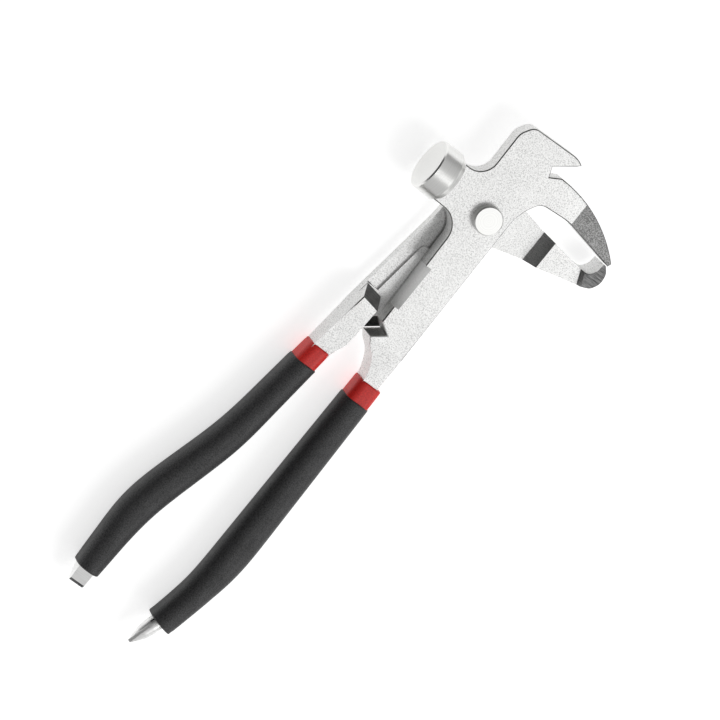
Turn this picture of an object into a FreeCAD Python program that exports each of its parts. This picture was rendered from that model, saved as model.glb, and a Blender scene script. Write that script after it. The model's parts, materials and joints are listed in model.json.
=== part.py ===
import FreeCAD, Part
import math
import os

from FreeCAD import Vector

# Wheel-weight pliers, closed, lying on their back. Lengths in mm. The outlines are drawn from the
# pivot: x = y = 0 on the pivot axis, +y towards the claw, z = 0 on the back of the forgings.

# forgings
THICK = 12.0            # full thickness of both forgings
LAP = 4.75              # thickness the rear half keeps under the front half
LAP_GAP = 0.06          # running gap between the two lap faces
LAP_SLANT = 36.9        # direction of the lap's end across the handles, in degrees from +x
LAP_STEEP = 0.75        # steepness of both ramps that meet there, under the V cutter
RECESS = 1.05           # depth of the milled recess beside the cutter pad
PIVOT_PAD_R = 12.0      # round bearing pad about the pivot
HANDLE_THICK = 9.6      # handle thickness where it enters the grip
TANG_THICK = 7.0        # handle thickness at the far end of the grip
EDGE = 0.5              # rounding of the forged front edges

# front half: stations of the plan outline
SHANK_LEFT = -7.4
SHANK_RIGHT = 8.6
LUG_LOW = -6.0
LUG_HIGH = 10.9
NOTCH_TOP = -52.2       # mouth of the V cutter, head side
NOTCH_LOW = -59.0       # mouth of the V cutter, handle side
NOTCH_DEEP = 5.0        # depth of the V cutter
CLAW_TOP = 37.3
JAW_TIP = (49.7, 14.8)
JAW_LAP_END = 24.0      # x where the lap ends under the upper jaw
GRIND_START = 26.7      # x where the front of the upper jaw is ground away
GRIND_FALL = 0.073      # how much it falls per mm towards the tip

# side cutter on the front half
BEVEL_HIGH = -26.5
BEVEL_LOW = -45.2
BEVEL_WIDE = 3.2
BEVEL_LAND = 0.3        # what the edge keeps below the lap face

# rear half
HOOK_OUT = 50.6         # how far the hooked tip reaches
HOOK_AT = (42.7, 4.0)   # where the jaw steps up to the hook
HOOK_TURN = 25.0        # direction of that step, in degrees from +x
HOOK_FALL = 0.9         # how much the ground face of the hook falls towards its tip
JAW_RISE = 23.5         # x where the lower jaw ramps up out of the lap
JAW_Z = 10.0            # height of the middle of the lower jaw
TIP_GAP = 0.3           # what is left between the closed tips
RAMP_AT = (-14.0, -49.7)  # where the handle has risen to full thickness
RAMP_TURN = 80.5        # direction of the handle's ramp, in degrees from +x
RAMP_LONG = 5.0
DRAFT_X = -7.9          # foot of the handle's drafted wall beside the V cutter
DRAFT = 2.5             # how far that wall leans back over its height

# striker
STRIKER_R = 10.0
STRIKER_FACE = -29.7    # x of the striking face
STRIKER_BACK = -19.6    # x where its cone ends
STRIKER_Y = 2.9
CONE_LONG = 2.2
CONE_DEEP = 1.3
FACE_EDGE = 0.5
SPIGOT_R = 2.3
SPIGOT_LONG = 7.0

# pivot rivet
RIVET_R = 4.0
RIVET_HEAD_R = 5.5
RIVET_HEAD_HIGH = 2.6
RIVET_HEAD_EDGE = 0.45
RIVET_FLARE_R = 5.6
RIVET_FLARE_DEEP = 1.6
PIVOT_PLAY = 0.05       # radial running clearance in the rear half

# sleeves
SLEEVE_TOP = -73.2
GRIP_TOP = -81.2
GRIP_END = -188.3
SLEEVE_SHORT = 2.5      # how far the inner sleeve stops inside the grip's end
GRIP_MID_Z = 6.0
GRIP_HIGH = 6.5         # half height of the grips
GRIP_ROUND = 4.2        # rounding along the grips' edges
GRIP_SPARE = 6.0        # how far the grip plans run on past both ends, before they are cut
FRONT_GRIP_END = (1.6, GRIP_END - 1.3)
FRONT_GRIP_TURN = -12.0 # degrees that the front handle has turned at its end
REAR_GRIP_END = (-33.5, GRIP_END + 0.2)
REAR_GRIP_TURN = 4.0
GRIP_WALL = 0.75        # wall of the black grip outside the red sleeve

# end tools
CROSS_R = 3.15
CROSS_AT = (1.1, GRIP_END - 2.0)
CROSS_TIP = (-2.5, GRIP_END - 13.2)
CROSS_BACK = 9.0        # length of its shank hidden in the handle
CROSS_SLOT = 1.1        # width of its four flutes
CROSS_POINT_R = 0.8
CROSS_TURN = 30.0       # how far the flutes are turned about the tip's axis
BLADE_END = GRIP_END - 7.0
BLADE_EDGE = 1.0        # thickness of the blade's ground edge
BLADE_THICK = 2.8
BLADE_GROUND = 1.1      # length of the ground edge

REACH = 400.0           # longer than any part, for cutting blocks


def bend(before, corner, after, radius):
    """Start, middle and end of the arc that rounds a corner between two straight runs."""
    back = (before - corner).normalize()
    ahead = (after - corner).normalize()
    half = back.getAngle(ahead) / 2.0
    middle = (back + ahead).normalize()
    run = radius / math.tan(half)
    reach = radius / math.sin(half) - radius
    return [corner + back * run, corner + middle * reach, corner + ahead * run]


def outline(*steps):
    """Closed wire in the plane z = 0. A step (x, y) is a corner, (x, y, r) a corner rounded with
    radius r, and (xm, ym, x, y) an arc through (xm, ym) to the corner (x, y)."""
    corners = [Vector(s[-2], s[-1], 0) if len(s) == 4 else Vector(s[0], s[1], 0) for s in steps]
    turns = []
    for i, step in enumerate(steps):
        after = corners[(i + 1) % len(steps)]
        rounded = len(step) == 3
        turns.append(bend(corners[i - 1], corners[i], after, step[2]) if rounded else [corners[i]])
    edges = []
    for i, step in enumerate(steps):
        start = turns[i - 1][-1]
        finish = turns[i][0]
        if len(step) == 4:
            edges.append(Part.Arc(start, Vector(step[0], step[1], 0), finish).toShape())
        else:
            edges.append(Part.makeLine(start, finish))
        if len(step) == 3:
            edges.append(Part.Arc(*turns[i]).toShape())
    return Part.Wire(edges)


def plate(wire, low, high):
    """Solid of a plan outline between two heights."""
    face = Part.Face(wire)
    face.translate(Vector(0, 0, low))
    return face.extrude(Vector(0, 0, high - low))


def wedge(at, heading, profile):
    """Long prism whose profile of (s, z) points runs level across the heading; s is counted from
    the point at, along the heading in degrees from +x."""
    points = [Vector(s, -REACH / 2, z) for s, z in profile]
    face = Part.Face(Part.makePolygon(points + points[:1]))
    block = face.extrude(Vector(0, REACH, 0))
    block.rotate(Vector(0, 0, 0), Vector(0, 0, 1), heading)
    block.translate(Vector(at[0], at[1], 0))
    return block


def above(at, heading, line):
    """Block over a height line of (s, z) points, open to the front."""
    top = 3 * THICK
    return wedge(at, heading, line + [(line[-1][0], top), (line[0][0], top)])


def below(at, heading, line):
    """Block under a height line of (s, z) points, open to the back."""
    bottom = -2 * THICK
    return wedge(at, heading, line + [(line[-1][0], bottom), (line[0][0], bottom)])


def taper(solid, start):
    """Thins a handle evenly on both faces, from the step at y = start to the end of the grip."""
    down = -90.0
    enter = start - SLEEVE_TOP
    far = start - GRIP_END
    cut_a = (THICK - HANDLE_THICK) / 2
    cut_b = (THICK - TANG_THICK) / 2
    line = [(0, 0), (enter, cut_a), (far, cut_b), (REACH, cut_b)]
    front = [(s, THICK - cut) for s, cut in line]
    solid = solid.cut(above((0, start), down, front))
    return solid.cut(below((0, start), down, line))


def soften(blank):
    """Rounds the rim of a blank's front: every edge between an upward face and a wall."""
    up = [face for face in blank.Faces if face.normalAt(0, 0).z > 0.9]
    seen = [edge.hashCode() for face in up for edge in face.Edges]
    rim = [edge for face in up for edge in face.Edges if seen.count(edge.hashCode()) == 1]
    return blank.makeFillet(EDGE, rim)


def front_outline():
    vertex = (SHANK_LEFT + 0.8 + NOTCH_DEEP, (NOTCH_TOP + NOTCH_LOW) / 2 + 0.45)
    return outline(
        (STRIKER_BACK - 1.3, LUG_HIGH),
        (STRIKER_BACK - 1.3, LUG_LOW),
        (SHANK_LEFT - 0.3, LUG_LOW, 8.5),
        (SHANK_LEFT + 0.8, NOTCH_TOP),
        vertex,
        (SHANK_LEFT + 0.7, NOTCH_LOW),
        (-4.3, -61.9, 6.0),
        (-0.6, -64.4, 9.0),
        (2.6, -71.5, 12.0),
        (3.3, -140.0),
        (2.4, -166.0, -1.6, GRIP_END + 1.5),
        (4.7, GRIP_END + 1.5),
        (9.0, -166.0, 9.9, -140.0),
        (SHANK_RIGHT - 0.4, 5.5, 10.0),
        (9.6, 10.6),
        (12.6, 16.2, 5.0),
        (25.0, 17.3, 22.0),
        (JAW_TIP[0] - 0.6, 13.2),
        JAW_TIP,
        (35.2, 23.7, 17.4, 28.0),
        (12.8, 28.1),
        (8.5, 25.7),
        (6.9, 29.4),
        (14.1, 34.6),
        (15.6, 36.0),
        (13.4, 37.0, 10.7, CLAW_TOP),
        (-7.9, CLAW_TOP - 0.8, 4.2),
        (-11.0, 31.5, 6.0),
        (-10.6, LUG_HIGH, 7.0),
    )


def front_half():
    body = plate(front_outline(), 0, THICK)
    # ground slope on the front of the upper jaw
    body = body.cut(above((GRIND_START, 0), 0.0, [(0, THICK), (REACH, THICK - GRIND_FALL * REACH)]))
    body = soften(body)
    # lap relief on the back: it ends on a slanting ramp at the V cutter and on one in the upper jaw
    lap_z = LAP + LAP_GAP
    handle_line = [(-lap_z / LAP_STEEP, 0), (0, lap_z), (REACH, lap_z)]
    to_handle = below((SHANK_LEFT + 0.8, NOTCH_TOP), LAP_SLANT + 90, handle_line)
    to_jaw = below((JAW_LAP_END, 0), 180.0, [(-lap_z, 0), (0, lap_z), (REACH, lap_z)])
    body = body.cut(to_handle.common(to_jaw))
    body = taper(body, NOTCH_LOW)
    # side cutter: a flat milled down to a sharp edge on the lap face
    foot = lap_z - BEVEL_LAND
    bevel = above((SHANK_LEFT - 0.2, 0), 0.0, [(-THICK, foot), (0, foot), (BEVEL_WIDE, THICK + 0.5)])
    span = Part.makeBox(THICK, BEVEL_HIGH - BEVEL_LOW, THICK, Vector(SHANK_LEFT - 4.6, BEVEL_LOW, 0))
    body = body.cut(bevel.common(span))
    body = body.fuse(cross_tip()).removeSplitter()
    body = body.cut(striker())
    return body.cut(rivet())


def cross_tip():
    """Fluted cross-head point, turned with two tapers and set into the end of the handle."""
    base = Vector(CROSS_AT[0], CROSS_AT[1], GRIP_MID_Z)
    tip = Vector(CROSS_TIP[0], CROSS_TIP[1], GRIP_MID_Z)
    axis = (tip - base).normalize()
    long = (tip - base).Length
    profile = [
        (0, -CROSS_BACK),
        (CROSS_R, -CROSS_BACK),
        (CROSS_R, 0.1 * long),
        (0.86 * CROSS_R, 0.5 * long),
        (CROSS_POINT_R, long),
        (0, long),
    ]
    points = [Vector(r, s, 0) for r, s in profile]
    tool = Part.Face(Part.makePolygon(points + points[:1])).revolve(Vector(0, 0, 0), Vector(0, 1, 0), 360)
    for turn in range(4):
        # a flute starts on the shank and reaches towards the axis at the point
        groove = [
            Vector(CROSS_R + 0.1, 1.0, 0),
            Vector(2 * CROSS_R, 1.0, 0),
            Vector(2 * CROSS_R, long + 1, 0),
            Vector(0.4 * CROSS_POINT_R, long + 1, 0),
        ]
        cut = Part.Face(Part.makePolygon(groove + groove[:1])).extrude(Vector(0, 0, CROSS_SLOT))
        cut.translate(Vector(0, 0, -CROSS_SLOT / 2))
        cut.rotate(Vector(0, 0, 0), Vector(0, 1, 0), 90 * turn + CROSS_TURN)
        tool = tool.cut(cut)
    tool.Placement = FreeCAD.Placement(base, FreeCAD.Rotation(Vector(0, 1, 0), axis))
    return tool


def rear_lap_outline():
    return outline(
        (-12.6, 2.0, 9.0),
        (-13.4, -12.0, 20.0),
        (-18.3, -49.0),
        (-14.0, -52.0),
        (-10.6, -58.9),
        (-7.0, -58.8),
        (2.6, -51.6),
        (3.4, -9.5, 4.0),
        (23.2, -4.1),
        (24.5, -3.8),
        (24.5, 8.5),
        (1.0, 12.8, 8.0),
    )


def rear_handle_outline():
    return outline(
        (-16.8, -40.0),
        (-18.4, -50.0, 30.0),
        (-21.1, SLEEVE_TOP, 60.0),
        (-24.6, -103.0),
        (-27.2, -119.0, -31.6, -136.0),
        (-36.1, -156.0, -37.4, -180.0),
        (-37.4, GRIP_END + 1.3),
        (-36.1, BLADE_END),
        (-30.0, BLADE_END),
        (-30.7, GRIP_END + 1.3),
        (-30.8, -180.0),
        (-29.4, -156.0, -25.0, -136.0),
        (-20.6, -119.0, -18.0, -103.0),
        (-14.6, -75.0, 30.0),
        (-11.3, -67.0, 8.0),
        (-10.9, -58.0, 10.0),
        (-9.9, -40.0),
    )


def lower_jaw_outline():
    return outline(
        (20.0, 9.2),
        (20.0, -4.8),
        (23.2, -4.1),
        (44.2, 1.1, 30.0),
        (HOOK_OUT - 2.0, 2.9, 4.0),
        (HOOK_OUT + 0.1, 6.6, 5.0),
        (HOOK_OUT - 0.4, 10.6, 4.0),
        (48.0, JAW_TIP[1] - 1.5 - TIP_GAP),
        (46.9, 13.45 - TIP_GAP),
        (46.5, 9.6, 3.0),
        (44.6, 6.7, 3.0),
        (41.0, 6.6, 20.0),
    )


def rear_half():
    # lap tongue, ending on the slanting slope that passes under the V cutter
    tongue = plate(rear_lap_outline(), 0, LAP)
    slope = [(-2 * LAP / LAP_STEEP, -LAP), (0, LAP)]
    tongue = tongue.cut(above((SHANK_LEFT + 0.8, NOTCH_TOP), LAP_SLANT + 90, slope))
    # milled recess between the pivot pad and the raised cutter pad
    pocket = outline(
        (-40, -44.6),
        (-12.7, -44.6),
        (-9.9, -21.9, 1.6),
        (3.0, -20.2),
        (3.0, 20.0),
        (-40, 20.0),
    )
    cut = plate(pocket, LAP - RECESS, LAP + 1)
    pad = Part.makeCylinder(PIVOT_PAD_R, THICK)
    tongue = tongue.cut(cut.cut(pad))
    # handle, rising to full thickness on a ramp
    handle = soften(plate(rear_handle_outline(), 0, THICK))
    ramp = [(0, THICK), (RAMP_LONG, LAP - RECESS), (REACH, LAP - RECESS)]
    handle = handle.cut(above(RAMP_AT, RAMP_TURN, ramp))
    draft = above((DRAFT_X, 0), 180.0, [(-THICK, LAP), (0, LAP), (DRAFT, THICK + 0.5)])
    head_side = Part.makeBox(20, 18, 2 * THICK, Vector(-20, NOTCH_LOW + 1.0, 0))
    handle = handle.cut(draft.common(head_side))
    handle = taper(handle, NOTCH_TOP)
    handle = handle.cut(blade_faces())
    # lower jaw, stepping up out of the lap and again at the hook
    jaw = soften(plate(lower_jaw_outline(), 0, THICK))
    rise = [(-10, LAP), (0, LAP), (4.0, JAW_Z), (16, JAW_Z)]
    jaw = jaw.cut(above((JAW_RISE, 0), 0.0, rise))
    hook = [(-10, JAW_Z), (0, JAW_Z), (1.2, THICK), (12, THICK - HOOK_FALL)]
    jaw = jaw.cut(above(HOOK_AT, HOOK_TURN, hook))
    body = tongue.fuse([handle, jaw]).removeSplitter()
    return body.cut(rivet_room())


def blade_faces():
    """What is ground away on both faces of the pry blade."""
    down = -90.0
    start = GRIP_END + 2.0
    run = start - BLADE_END
    ground = run - BLADE_GROUND
    line = [(0, TANG_THICK / 2), (ground, BLADE_THICK / 2), (run, BLADE_EDGE / 2), (2 * run, BLADE_EDGE / 2)]
    front = above((0, start), down, [(s, GRIP_MID_Z + z) for s, z in line])
    return front.fuse(below((0, start), down, [(s, GRIP_MID_Z - z) for s, z in line]))


def striker():
    """Turned striking head with a back cone and a spigot pressed into the lug."""
    rim = STRIKER_BACK - CONE_LONG
    points = [
        (STRIKER_FACE, 0),
        (STRIKER_FACE, STRIKER_R - FACE_EDGE),
        (STRIKER_FACE + FACE_EDGE, STRIKER_R),
        (rim, STRIKER_R),
        (STRIKER_BACK, STRIKER_R - CONE_DEEP),
        (STRIKER_BACK, SPIGOT_R),
        (STRIKER_BACK + SPIGOT_LONG, SPIGOT_R),
        (STRIKER_BACK + SPIGOT_LONG, 0),
    ]
    face = Part.Face(Part.makePolygon([Vector(x, y, 0) for x, y in points + points[:1]]))
    body = face.revolve(Vector(0, 0, 0), Vector(1, 0, 0), 360)
    body.translate(Vector(0, STRIKER_Y, (THICK + LAP + LAP_GAP) / 2))
    return body


def rivet_profile(play):
    """Rivet turned about z: raised head in front, flare let in flush at the back."""
    shank = RIVET_R + play
    flare = RIVET_FLARE_R + play
    head = THICK + RIVET_HEAD_HIGH
    points = [
        (0, 0),
        (flare, 0),
        (shank, RIVET_FLARE_DEEP),
        (shank, THICK),
        (RIVET_HEAD_R, THICK),
        (RIVET_HEAD_R, head - RIVET_HEAD_EDGE),
        (RIVET_HEAD_R - RIVET_HEAD_EDGE, head),
        (0, head),
    ]
    face = Part.Face(Part.makePolygon([Vector(r, 0, z) for r, z in points + points[:1]]))
    return face.revolve(Vector(0, 0, 0), Vector(0, 0, 1), 360)


def rivet():
    return rivet_profile(0.0)


def rivet_room():
    """Hole for the rivet in the rear half, with running clearance."""
    return rivet_profile(PIVOT_PLAY)


def front_grip_outline():
    """Plan of the front grip, longer than the grip at both ends."""
    return outline(
        (0.8, SLEEVE_TOP + GRIP_SPARE),
        (0.5, -171.0, 32.0),
        (-4.0, GRIP_END - GRIP_SPARE),
        (5.7, GRIP_END - GRIP_SPARE),
        (14.3, -160.0, 60.0),
        (12.2, SLEEVE_TOP + GRIP_SPARE),
    )


def rear_grip_outline():
    """Plan of the rear grip, bowed outwards, longer than the grip at both ends."""
    return outline(
        (-22.1, SLEEVE_TOP + GRIP_SPARE),
        (-28.3, -116.0, 50.0),
        (-40.6, -157.8, 45.0),
        (-38.1, GRIP_END - GRIP_SPARE),
        (-29.2, GRIP_END - GRIP_SPARE),
        (-27.2, -159.5, 40.0),
        (-16.6, -120.3, 40.0),
        (-11.8, SLEEVE_TOP + GRIP_SPARE),
    )


def grip_bar(plan, shrink, top, end, turn):
    """Dipped handle: the plan drawn in by shrink, rounded along its edges, cut level at y = top and
    cut through the point end square to the handle, which has turned by that many degrees there."""
    wire = plan.makeOffset2D(-shrink) if shrink else plan
    high = GRIP_HIGH - shrink
    bar = plate(wire, GRIP_MID_Z - high, GRIP_MID_Z + high)
    along = [edge for edge in bar.Edges if edge.BoundBox.ZLength < 0.01 and edge.BoundBox.YLength > 0.01]
    bar = bar.makeFillet(GRIP_ROUND - shrink, along)
    over = Part.makeBox(REACH, REACH, REACH, Vector(-REACH / 2, top, -REACH / 2))
    under = Part.makeBox(REACH, REACH, REACH, Vector(-REACH / 2, -REACH, -REACH / 2))
    under.rotate(Vector(0, 0, 0), Vector(0, 0, 1), turn)
    under.translate(Vector(end[0], end[1], 0))
    return bar.cut(over).cut(under)


def sleeve_core(plan, end, turn):
    """Outside of the red sleeve, which the black grip is dipped over."""
    return grip_bar(plan, GRIP_WALL, SLEEVE_TOP, (end[0], end[1] + SLEEVE_SHORT), turn)


def inner_sleeve(plan, end, turn, tang):
    return sleeve_core(plan, end, turn).cut(tang)


def outer_grip(plan, end, turn, tang):
    skin = grip_bar(plan, 0.0, GRIP_TOP, end, turn)
    return skin.cut(sleeve_core(plan, end, turn)).cut(tang)


def main():
    front = front_half()
    rear = rear_half()
    parts = {
        "front_half": front,
        "rear_half": rear,
        "striker": striker(),
        "pivot_rivet": rivet(),
        "front_inner_sleeve": inner_sleeve(front_grip_outline(), FRONT_GRIP_END, FRONT_GRIP_TURN, front),
        "rear_inner_sleeve": inner_sleeve(rear_grip_outline(), REAR_GRIP_END, REAR_GRIP_TURN, rear),
        "front_grip": outer_grip(front_grip_outline(), FRONT_GRIP_END, FRONT_GRIP_TURN, front),
        "rear_grip": outer_grip(rear_grip_outline(), REAR_GRIP_END, REAR_GRIP_TURN, rear),
    }
    # the part's own frame: middle of the closed tool, lowest point on z = 0
    whole = FreeCAD.BoundBox()
    for shape in parts.values():
        whole.add(shape.optimalBoundingBox(False))
    shift = Vector(-whole.Center.x, -whole.Center.y, -whole.ZMin)
    os.makedirs("parts", exist_ok=True)
    for name, shape in parts.items():
        shape.translate(shift)
        shape.exportStep("parts/" + name + ".step")
    print("pivot at", [round(v, 6) for v in shift])


main()
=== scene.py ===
import json
import math

import bmesh
import bpy
import numpy as np
from mathutils import Matrix, Vector

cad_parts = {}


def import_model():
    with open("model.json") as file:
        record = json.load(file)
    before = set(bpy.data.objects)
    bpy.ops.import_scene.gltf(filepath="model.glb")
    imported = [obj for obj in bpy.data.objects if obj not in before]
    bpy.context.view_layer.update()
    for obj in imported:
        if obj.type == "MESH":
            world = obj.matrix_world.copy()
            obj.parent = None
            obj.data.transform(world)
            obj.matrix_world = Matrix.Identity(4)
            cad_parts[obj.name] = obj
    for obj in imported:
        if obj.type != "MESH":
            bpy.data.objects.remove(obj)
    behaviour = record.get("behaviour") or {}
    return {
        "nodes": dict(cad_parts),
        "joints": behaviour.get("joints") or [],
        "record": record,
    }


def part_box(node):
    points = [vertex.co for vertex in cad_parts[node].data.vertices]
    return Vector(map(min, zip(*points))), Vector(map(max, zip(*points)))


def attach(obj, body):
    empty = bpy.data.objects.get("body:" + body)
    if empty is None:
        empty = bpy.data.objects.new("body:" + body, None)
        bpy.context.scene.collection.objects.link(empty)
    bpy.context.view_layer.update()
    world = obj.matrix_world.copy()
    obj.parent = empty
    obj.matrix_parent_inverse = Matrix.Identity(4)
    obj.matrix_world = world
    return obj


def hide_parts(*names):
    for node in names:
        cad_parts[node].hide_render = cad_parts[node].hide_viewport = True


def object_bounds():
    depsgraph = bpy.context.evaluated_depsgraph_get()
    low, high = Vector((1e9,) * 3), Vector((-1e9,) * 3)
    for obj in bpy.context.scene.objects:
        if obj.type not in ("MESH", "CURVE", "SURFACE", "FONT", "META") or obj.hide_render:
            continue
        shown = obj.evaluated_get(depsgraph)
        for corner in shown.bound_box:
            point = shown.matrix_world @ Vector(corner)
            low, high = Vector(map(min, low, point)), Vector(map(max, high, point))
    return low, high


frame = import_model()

# Wheel-weight pliers lying on their back. The two forgings get their surface finish and broken edges,
# and the four vinyl dips on the handles get smooth skins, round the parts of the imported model.

CAD_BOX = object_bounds()
MM = 0.001
NODES = frame["nodes"]
PIVOT = Vector(frame["joints"][0]["pos_m"])
PIVOT.z = 0.0
BACK_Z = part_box("rear_half")[0].z   # back of the forgings

# forgings: their surface
WELD = 0.002 * MM                    # points closer than this are one
FLAT_ANGLE = math.radians(1.0)       # facets that turn less than this are one flat
EDGE_BREAK = 0.18 * MM               # width of the broken sharp edges
SHARP_ANGLE = math.radians(35)

# forgings: where each finish lies, in mm from the pivot
NOSE_FROM_X = 26.6                   # ground nose of the upper jaw
HOOK_FROM_X = 42.0                   # ground tip of the lower jaw
JAW_RAMP_FROM_X = 23.0
SIDE_CUTTER_Y = (-45.3, -26.4)
SIDE_CUTTER_TO_X = -3.0
V_CUTTER_Y = (-60.0, -51.5)
V_CUTTER_TO_X = -1.0
HANDLE_RAMP_Y = (-51.0, -43.0)
HANDLE_RAMP_TO_X = -8.0
TIPS_BELOW_Y = -189.0                # cross tip and pry blade, beyond the grips
BLADE_EDGE_BELOW_Y = -193.5

# dips
RED_CORNER = 3.4 * MM                # rounding along the red dip's edges
BLACK_CORNER = 5.5 * MM
RING_STEP = 1.5 * MM                 # distance between the rings of a skin
END_ZONE = 3.5 * MM                  # stretch of a node's far end that its slanted cut takes
SLANT_FADE = 20 * MM                 # how far up the handle the slant of its end is felt
RIM = 0.5 * MM                       # rolled rim at both ends


def at(x, y, z=0.0):
    """A point given in mm from the pivot, z from the back of the forgings."""
    return Vector((PIVOT.x + x * MM, PIVOT.y + y * MM, BACK_Z + z * MM))


# ---------------------------------------------------------------- materials

def linear(hex_colour):
    """sRGB hex to the linear colour that a shader takes."""
    out = []
    for i in (0, 2, 4):
        c = int(hex_colour[i:i + 2], 16) / 255.0
        out.append(c / 12.92 if c <= 0.04045 else ((c + 0.055) / 1.055) ** 2.4)
    return (*out, 1.0)


def node(tree, kind, settings=None, inputs=None):
    """Adds a shader node, sets its properties and sets or links its inputs."""
    made = tree.nodes.new(kind)
    for name, value in (settings or {}).items():
        setattr(made, name, value)
    for name, value in (inputs or {}).items():
        socket = made.inputs[name]
        if isinstance(value, bpy.types.NodeSocket):
            tree.links.new(value, socket)
        else:
            socket.default_value = value
    return made


def material(name):
    """An empty node material and its tree."""
    made = bpy.data.materials.new(name)
    made.use_nodes = True
    made.node_tree.nodes.clear()
    return made, made.node_tree


def finish_material(tree, shader):
    """Joins the shader to the material's output."""
    node(tree, "ShaderNodeOutputMaterial", None, {"Surface": shader.outputs["BSDF"]})


def noise(tree, vector, grain_mm, detail=2.0, rough=0.5):
    """Noise whose lumps are about grain_mm across."""
    return node(tree, "ShaderNodeTexNoise", {"noise_dimensions": "3D"},
                {"Vector": vector, "Scale": 1.0 / (grain_mm * MM), "Detail": detail,
                 "Roughness": rough})


def ramp(tree, value, low, high, from_hex, to_hex):
    """Blends from one colour to another while a pattern's value goes from low to high."""
    made = node(tree, "ShaderNodeValToRGB", None, {"Fac": value})
    made.color_ramp.elements[0].position = low
    made.color_ramp.elements[0].color = linear(from_hex)
    made.color_ramp.elements[1].position = high
    made.color_ramp.elements[1].color = linear(to_hex)
    return made


def spread(tree, value, low, high):
    """Maps a 0 to 1 pattern onto a range."""
    return node(tree, "ShaderNodeMapRange", None,
                {"Value": value, "From Min": 0.25, "From Max": 0.75, "To Min": low, "To Max": high})


def nickel_plated_forging():
    """Drop-forged steel, shot blasted and satin nickel plated: the blast leaves a fine orange-peel
    grain under the plate, so light scatters evenly, with faint darker and lighter specks."""
    made, tree = material("shot_blasted_nickel_plate")
    where = node(tree, "ShaderNodeTexCoord").outputs["Object"]
    grain = noise(tree, where, 0.45, 2.0, 0.6)
    cloud = noise(tree, where, 9.0, 2.0, 0.5)
    tint = ramp(tree, grain.outputs["Fac"], 0.30, 0.55, "B6B6B5", "EBEBEA")
    rough = spread(tree, cloud.outputs["Fac"], 0.42, 0.48)
    bump = node(tree, "ShaderNodeBump", None,
                {"Strength": 0.6, "Distance": 0.05 * MM, "Height": grain.outputs["Fac"]})
    shader = node(tree, "ShaderNodeBsdfPrincipled", None,
                  {"Base Color": tint.outputs["Color"], "Metallic": 1.0,
                   "Roughness": rough.outputs["Result"], "Normal": bump.outputs["Normal"]})
    finish_material(tree, shader)
    return made


def rough_ground_steel():
    """Forged steel rough ground before plating: a coarse tooth that looks darker than the blast."""
    made, tree = material("rough_ground_nickel_plate")
    where = node(tree, "ShaderNodeTexCoord").outputs["Object"]
    tooth = noise(tree, where, 0.5, 3.0, 0.7)
    tint = ramp(tree, tooth.outputs["Fac"], 0.38, 0.60, "5E5E5E", "A8A8A7")
    bump = node(tree, "ShaderNodeBump", None,
                {"Strength": 0.9, "Distance": 0.12 * MM, "Height": tooth.outputs["Fac"]})
    shader = node(tree, "ShaderNodeBsdfPrincipled", None,
                  {"Base Color": tint.outputs["Color"], "Metallic": 1.0, "Roughness": 0.5,
                   "Normal": bump.outputs["Normal"]})
    finish_material(tree, shader)
    return made


LINE_STRETCH = 0.04                  # a tool line's width as a share of its length


def machined_steel(name, light_hex, dark_hex, turn, line_mm, roughness):
    """Steel milled, belt ground or rubbed: fine parallel lines along X, line_mm apart, drawn out 25
    times as long as they are wide. The noise is stretched before it is turned, so turn, in degrees,
    gives each finish other lines but leaves them along X."""
    made, tree = material(name)
    where = node(tree, "ShaderNodeTexCoord").outputs["Object"]
    stretched = node(tree, "ShaderNodeMapping", None,
                     {"Vector": where, "Rotation": (0.0, 0.0, -math.radians(turn)),
                      "Scale": (LINE_STRETCH, 1.0, 1.0)})
    lines = noise(tree, stretched.outputs["Vector"], line_mm, 3.0, 0.6)
    tint = ramp(tree, lines.outputs["Fac"], 0.32, 0.68, dark_hex, light_hex)
    bump = node(tree, "ShaderNodeBump", None,
                {"Strength": 0.5, "Distance": 0.04 * MM, "Height": lines.outputs["Fac"]})
    shader = node(tree, "ShaderNodeBsdfPrincipled", None,
                  {"Base Color": tint.outputs["Color"], "Metallic": 1.0, "Roughness": roughness,
                   "Normal": bump.outputs["Normal"]})
    finish_material(tree, shader)
    return made


TURNED_RINGS = 0.25 * MM             # feed of the lathe tool


def turned_nickel(name, centre, along_x, roughness):
    """Steel turned about an axis along X or Z through centre, polished and bright plated: the faint
    rings that the lathe tool left still show under the plate."""
    made, tree = material(name)
    where = node(tree, "ShaderNodeTexCoord").outputs["Object"]
    moved = node(tree, "ShaderNodeVectorMath", {"operation": "SUBTRACT"}, {0: where, 1: centre})
    flat = (0.0, 1.0, 1.0) if along_x else (1.0, 1.0, 0.0)
    radial = node(tree, "ShaderNodeVectorMath", {"operation": "MULTIPLY"},
                  {0: moved.outputs["Vector"], 1: flat})
    radius = node(tree, "ShaderNodeVectorMath", {"operation": "LENGTH"}, {0: radial.outputs["Vector"]})
    long = node(tree, "ShaderNodeSeparateXYZ", None, {"Vector": moved.outputs["Vector"]})
    both = node(tree, "ShaderNodeMath", {"operation": "ADD"},
                {0: radius.outputs["Value"], 1: long.outputs["X" if along_x else "Z"]})
    rings = node(tree, "ShaderNodeTexNoise", {"noise_dimensions": "1D"},
                 {"W": both.outputs["Value"], "Scale": 1.0 / TURNED_RINGS, "Detail": 2.0})
    tint = ramp(tree, rings.outputs["Fac"], 0.2, 0.8, "E6E6E4", "F8F8F6")
    bump = node(tree, "ShaderNodeBump", None,
                {"Strength": 0.35, "Distance": 0.01 * MM, "Height": rings.outputs["Fac"]})
    shader = node(tree, "ShaderNodeBsdfPrincipled", None,
                  {"Base Color": tint.outputs["Color"], "Metallic": 1.0, "Roughness": roughness,
                   "Normal": bump.outputs["Normal"]})
    finish_material(tree, shader)
    return made


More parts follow.
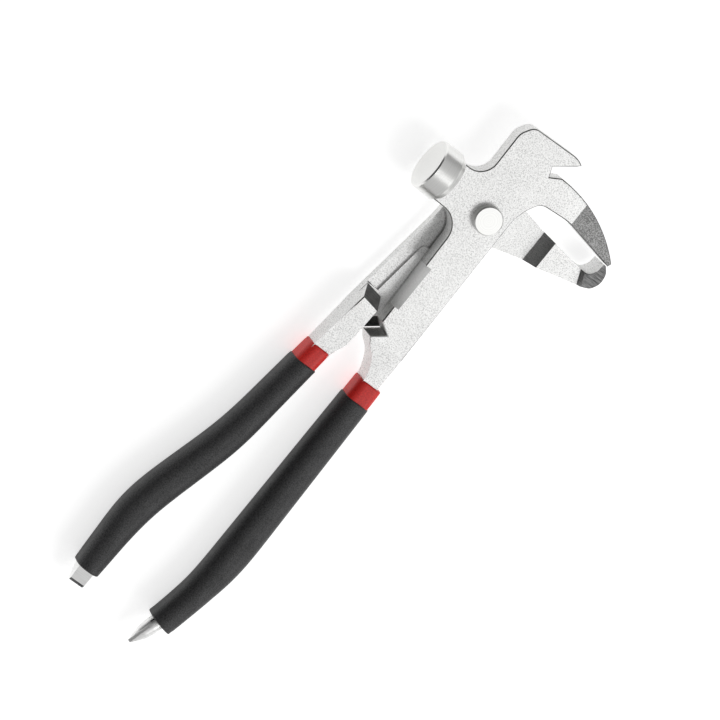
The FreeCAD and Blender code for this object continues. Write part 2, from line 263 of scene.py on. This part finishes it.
def dipped_vinyl(name, light_hex, dark_hex, grain_mm, depth_mm, roughness):
    """Vinyl from a hot dip: colour right through, a skin with a fine grain, and faint sags 7 mm
    across that change its gloss a little."""
    made, tree = material(name)
    where = node(tree, "ShaderNodeTexCoord").outputs["Object"]
    grain = noise(tree, where, grain_mm, 2.0, 0.55)
    sag = noise(tree, where, 7.0, 1.0, 0.5)
    tint = ramp(tree, grain.outputs["Fac"], 0.3, 0.7, dark_hex, light_hex)
    rough = spread(tree, sag.outputs["Fac"], roughness - 0.04, roughness + 0.05)
    bump = node(tree, "ShaderNodeBump", None,
                {"Strength": 0.6, "Distance": depth_mm * MM, "Height": grain.outputs["Fac"]})
    shader = node(tree, "ShaderNodeBsdfPrincipled", None,
                  {"Base Color": tint.outputs["Color"], "Roughness": rough.outputs["Result"],
                   "IOR": 1.53, "Normal": bump.outputs["Normal"]})
    finish_material(tree, shader)
    return made


SATIN = nickel_plated_forging()
GROUND = rough_ground_steel()

# The belt leaves the hook much darker and more streaked than the plate round it.
HOOK_GROUND = machined_steel("belt_ground_hook", "808080", "3E3E3E", 100, 0.35, 0.45)

# The cutter's milled bevel and the faces of the V cutter show almost no line. Their pale colour is
# painted light: it brightens tilted faces and faces that lie in shade deep in the notch.
MILLED_PAINTED_LIGHT = machined_steel("milled_cutter_flat_painted_light", "FFFFFE", "EEEEED", 90, 0.30, 0.62)

# The end mill leaves the two ramps finely lined. Their dark colour is painted shade, because both
# ramps face away from the light.
RAMP_PAINTED_SHADE = machined_steel("end_milled_ramp_painted_shade", "A2A2A2", "707070", 80, 0.30, 0.40)

# Handling rubs the rounded edges smoother than the faces, so their reflection is sharper. Their darker
# colour, given to every slanting face, is painted shade standing in for the dark reflection along the
# edges.
RUBBED_AND_PAINTED_SHADE = machined_steel("rubbed_forging_edge_painted_shade", "8E8E8D", "6A6A69", 0, 0.50, 0.24)

# The blade and the cross tip are polished and bright.
TIP = machined_steel("polished_tool_tip", "FFFFFE", "F0F0EF", 90, 0.40, 0.45)

STRIKER_CENTRE = next(m["pos_m"] for m in frame["record"]["mounts"] if m["name"] == "striking_face")
BRIGHT_STRIKER = turned_nickel("turned_polished_striker", tuple(STRIKER_CENTRE), True, 0.30)
BRIGHT_RIVET = turned_nickel("turned_polished_rivet", tuple(at(0, 0)), False, 0.44)
RED = dipped_vinyl("red_dipped_vinyl", "EE281E", "CC120E", 0.6, 0.02, 0.50)
BLACK = dipped_vinyl("black_dipped_vinyl", "474748", "080809", 0.45, 0.08, 0.55)


# ---------------------------------------------------------------- pieces

def dress(name, look):
    """Gives a carried-over node its material."""
    slots = NODES[name].data.materials
    slots.clear()
    slots.append(look)


def forging(name, body, faces_to):
    """Copy of a forging's surface with its sharp edges broken, and its machined faces picked out
    by faces_to, which gives the material for a face's centre and normal."""
    source = NODES[name]
    mesh = bpy.data.meshes.new(name + "_forged")
    work = bmesh.new()
    work.from_mesh(source.data)
    bmesh.ops.remove_doubles(work, verts=work.verts, dist=WELD)
    bmesh.ops.dissolve_limit(work, angle_limit=FLAT_ANGLE, verts=work.verts, edges=work.edges)
    work.to_mesh(mesh)
    work.free()
    piece = bpy.data.objects.new(name + "_forged", mesh)
    bpy.context.scene.collection.objects.link(piece)
    slots = [SATIN, GROUND, HOOK_GROUND, MILLED_PAINTED_LIGHT, RAMP_PAINTED_SHADE, RUBBED_AND_PAINTED_SHADE, TIP]
    for look in slots:
        mesh.materials.append(look)
    for face in mesh.polygons:
        face.material_index = slots.index(faces_to(face.center, face.normal))
        face.use_smooth = True
    rounding = piece.modifiers.new("edge_break", "BEVEL")
    rounding.width = EDGE_BREAK
    rounding.segments = 2
    rounding.limit_method = "ANGLE"
    rounding.angle_limit = SHARP_ANGLE
    rounding.material = -1
    level = piece.modifiers.new("level_faces", "WEIGHTED_NORMAL")
    level.mode = "FACE_AREA"
    level.weight = 100
    level.keep_sharp = False
    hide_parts(name)
    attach(piece, body)
    return piece


def slanting(normal):
    """True for a forging's ramps, bevels and rounded front edges, neither level nor upright."""
    return 0.15 < normal.z < 0.97


def front_faces(centre, normal):
    """Material of a face of the front half."""
    x = (centre.x - PIVOT.x) / MM
    y = (centre.y - PIVOT.y) / MM
    if x > NOSE_FROM_X and 0.9 < normal.z < 0.9990:
        return GROUND
    # Side cutter's bevel: pale milled material whose paleness is painted light on a tilted face.
    if SIDE_CUTTER_Y[0] < y < SIDE_CUTTER_Y[1] and x < SIDE_CUTTER_TO_X and 0.2 < normal.z < 0.8:
        return MILLED_PAINTED_LIGHT
    # V-cutter faces: pale milled material whose paleness is painted light in the notch's shade.
    if V_CUTTER_Y[0] < y < V_CUTTER_Y[1] and x < V_CUTTER_TO_X and slanting(normal):
        return MILLED_PAINTED_LIGHT
    if y < TIPS_BELOW_Y:
        return TIP
    # Slanting faces and rounded edges get a darker colour: painted shade for their dark reflection.
    return RUBBED_AND_PAINTED_SHADE if slanting(normal) else SATIN


def rear_faces(centre, normal):
    """Material of a face of the rear half."""
    x = (centre.x - PIVOT.x) / MM
    y = (centre.y - PIVOT.y) / MM
    if x > HOOK_FROM_X and 0.9 < normal.z < 0.9999:
        return HOOK_GROUND
    # Jaw ramp turned towards the dark striker's side: painted shade, given by the darker ramp
    # material.
    if x > JAW_RAMP_FROM_X and normal.x < -0.3 and 0.3 < normal.z < 0.9:
        return RAMP_PAINTED_SHADE
    # Handle ramp turned away from the light: painted shade, given by the darker ramp material.
    on_handle = x < HANDLE_RAMP_TO_X and HANDLE_RAMP_Y[0] < y < HANDLE_RAMP_Y[1]
    if on_handle and normal.y > 0.6 and normal.z > 0.3:
        return RAMP_PAINTED_SHADE
    if y < BLADE_EDGE_BELOW_Y and 0.3 < abs(normal.z) < 0.99:
        return HOOK_GROUND
    if y < TIPS_BELOW_Y:
        return TIP
    # Slanting faces and rounded edges get a darker colour: painted shade for their dark reflection.
    return RUBBED_AND_PAINTED_SHADE if slanting(normal) else SATIN


def plan_edges(name, low, high, count):
    """Left and right edge of a node in plan, at count places along Y: x where its surface crosses."""
    mesh = NODES[name].data
    points = np.array([v.co for v in mesh.vertices])
    ends = np.array([e.vertices for e in mesh.edges])
    first, second = points[ends[:, 0]], points[ends[:, 1]]
    places = np.linspace(low, high, count)
    found = []
    for y in places:
        crossing = (first[:, 1] - y) * (second[:, 1] - y) <= 0
        crossing &= np.abs(first[:, 1] - second[:, 1]) > 1e-9
        share = (y - first[crossing, 1]) / (second[crossing, 1] - first[crossing, 1])
        x = first[crossing, 0] + share * (second[crossing, 0] - first[crossing, 0])
        found.append((x.min(), x.max()))
    return places, np.array(found)


def eased(values, reach, times):
    """Averages neighbours, so that a bend is spread along the handle; the ends stay."""
    out = values.copy()
    for _ in range(times):
        before = 2 * out[:1] - out[reach:0:-1]
        after = 2 * out[-1:] - out[-2:-reach - 2:-1]
        padded = np.concatenate([before, out, after])
        window = np.ones(2 * reach + 1) / (2 * reach + 1)
        out = np.stack([np.convolve(padded[:, k], window, "valid") for k in range(2)], axis=1)
    return out


def rounded_section(half_x, half_z, radius, steps=12):
    """Points round a rectangle whose corners are arcs of one radius."""
    points = []
    for quarter, (side_x, side_z) in enumerate(((1, 1), (-1, 1), (-1, -1), (1, -1))):
        for i in range(steps + 1):
            turn = (quarter + i / steps) * math.pi / 2
            x = side_x * (half_x - radius) + radius * math.cos(turn)
            z = side_z * (half_z - radius) + radius * math.sin(turn)
            points.append((x, z))
    return points


def dipped_handle(piece_name, node_name, body, look, radius):
    """Lofts a smooth rounded skin through a grip node's own plan edges, with a rolled rim at both
    ends. The top is cut level and the far end square to the handle."""
    lo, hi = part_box(node_name)
    count = int((hi.y - lo.y - END_ZONE) / RING_STEP)
    places, edges = plan_edges(node_name, lo.y + END_ZONE, hi.y - 0.02 * MM, count)
    edges = eased(edges, reach=4, times=3)
    centres = edges.mean(axis=1)
    lean = -(centres[3] - centres[0]) / (places[3] - places[0])
    half_end = (edges[0, 1] - edges[0, 0]) / 2
    end = lo.y + abs(lean) * half_end
    start = edges[0] + (edges[0] - edges[3]) * (places[0] - end) / (places[3] - places[0])
    places = np.concatenate([[end], places])
    edges = np.concatenate([[start], edges])
    middle_z, half_z = (lo.z + hi.z) / 2, (hi.z - lo.z) / 2
    rolled = [(0.0, 3 * RIM), (0.0, RIM), (0.3 * RIM, 0.3 * RIM), (RIM, 0.0), (1.5 * RIM, 0.0)]
    steps = [(0, shift, inset) for shift, inset in rolled]
    steps += [(k, 0.0, 0.0) for k in range(1, count)]
    steps += [(count, -shift, inset) for shift, inset in reversed(rolled)]
    work = bmesh.new()
    rings = []
    for k, shift, inset in steps:
        left, right = edges[k]
        middle, half = (left + right) / 2, (right - left) / 2
        slope = lean * max(0.0, 1.0 - (places[k] - end) / SLANT_FADE)
        corner_radius = min(radius, 0.95 * half)
        section = rounded_section(half - inset, half_z - inset, corner_radius - inset)
        rings.append([work.verts.new((middle + x, places[k] + shift + slope * x, middle_z + z))
                      for x, z in section])
    around = len(rings[0])
    for one, other in zip(rings, rings[1:]):
        for i in range(around):
            j = (i + 1) % around
            work.faces.new((one[i], one[j], other[j], other[i]))
    work.faces.new(rings[0][::-1])
    work.faces.new(rings[-1])
    bmesh.ops.recalc_face_normals(work, faces=work.faces)
    mesh = bpy.data.meshes.new(piece_name)
    work.to_mesh(mesh)
    work.free()
    piece = bpy.data.objects.new(piece_name, mesh)
    bpy.context.scene.collection.objects.link(piece)
    mesh.materials.append(look)
    for face in mesh.polygons:
        face.use_smooth = True
    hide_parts(node_name)
    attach(piece, body)
    return piece


forging("front_half", "front", front_faces)
forging("rear_half", "rear", rear_faces)
dress("striker", BRIGHT_STRIKER)
dress("pivot_rivet", BRIGHT_RIVET)
for side in ("front", "rear"):
    dipped_handle(side + "_red_collar", side + "_inner_sleeve", side, RED, RED_CORNER)
    dipped_handle(side + "_black_grip", side + "_grip", side, BLACK, BLACK_CORNER)


# ---------------------------------------------------------------- stage, light and camera

def floor():
    """Pale matt sheet under the tool, lit partly from within so that shadows on it stay faint."""
    mesh = bpy.data.meshes.new("floor")
    half = 1.5
    corners = [(-half, -half, 0), (half, -half, 0), (half, half, 0), (-half, half, 0)]
    mesh.from_pydata(corners, [], [(0, 1, 2, 3)])
    made = bpy.data.objects.new("floor", mesh)
    bpy.context.scene.collection.objects.link(made)
    made.location.z = CAD_BOX[0][2] - 0.05 * MM
    sheet, tree = material("backlit_opal_sheet")
    where = node(tree, "ShaderNodeTexCoord").outputs["Object"]
    tooth = noise(tree, where, 1.2, 2.0, 0.5)
    tint = ramp(tree, tooth.outputs["Fac"], 0.3, 0.7, "DEDEDE", "E3E3E3")
    shader = node(tree, "ShaderNodeBsdfPrincipled", None,
                  {"Base Color": tint.outputs["Color"], "Roughness": 0.9,
                   "Emission Color": (1.0, 1.0, 1.0, 1.0), "Emission Strength": 0.66})
    finish_material(tree, shader)
    mesh.materials.append(sheet)


def softbox(name, place, aim, size, power):
    """Rectangular lamp, size in metres and power in watts, turned towards a point."""
    light = bpy.data.lights.new(name, "AREA")
    light.shape = "RECTANGLE"
    light.size, light.size_y = size
    light.energy = power
    made = bpy.data.objects.new(name, light)
    bpy.context.scene.collection.objects.link(made)
    made.location = place
    made.rotation_euler = (Vector(aim) - Vector(place)).to_track_quat("-Z", "Y").to_euler()


def camera():
    """Long lens that looks down on the tool's face, tilted 22.6 degrees towards the striker's side."""
    right = Vector((0.7416, 0.6273, 0.2387)).normalized()
    up = Vector((-0.5572, 0.7737, -0.3022)).normalized()
    back = right.cross(up)
    centre = at(-3.98, -68.02, 12.0)
    away = 1.6                       # metres from the tool
    field = 0.259                    # metres of the tool's plane that fill the view
    lens = bpy.data.cameras.new("camera")
    lens.sensor_width = 36.0
    lens.lens = lens.sensor_width * away / field
    made = bpy.data.objects.new("camera", lens)
    bpy.context.scene.collection.objects.link(made)
    turn = Matrix((right, up, back)).transposed().to_4x4()
    made.matrix_world = Matrix.Translation(centre + back * away) @ turn
    bpy.context.scene.camera = made


def world():
    """A studio that is bright overhead and towards the jaws, and dark low down on the striker's side,
    so that level faces gleam while ramps and edges turned that way go dark."""
    made = bpy.data.worlds.new("studio")
    made.use_nodes = True
    tree = made.node_tree
    tree.nodes.clear()
    where = node(tree, "ShaderNodeTexCoord").outputs["Generated"]
    toward = node(tree, "ShaderNodeVectorMath", {"operation": "DOT_PRODUCT"},
                  {0: where, 1: Vector((0.76, -0.34, 0.55)).normalized()})
    fall = node(tree, "ShaderNodeMapRange", {"interpolation_type": "SMOOTHSTEP"},
                {"Value": toward.outputs["Value"], "From Min": -0.35, "From Max": 0.45,
                 "To Min": 0.02, "To Max": 0.54})
    back = node(tree, "ShaderNodeBackground", None,
                {"Color": (1.0, 1.0, 1.0, 1.0), "Strength": fall.outputs["Result"]})
    node(tree, "ShaderNodeOutputWorld", None, {"Surface": back.outputs["Background"]})
    bpy.context.scene.world = made


floor()
world()
camera()
MIDDLE = at(0, -60, 6)
# Low enough for the rivet's head to shade the forging beside it.
softbox("right_softbox", MIDDLE + Vector((1.45, -0.15, 1.65)), MIDDLE, (1.0, 1.0), 12.0)

scene = bpy.context.scene
scene.view_settings.view_transform = "Standard"
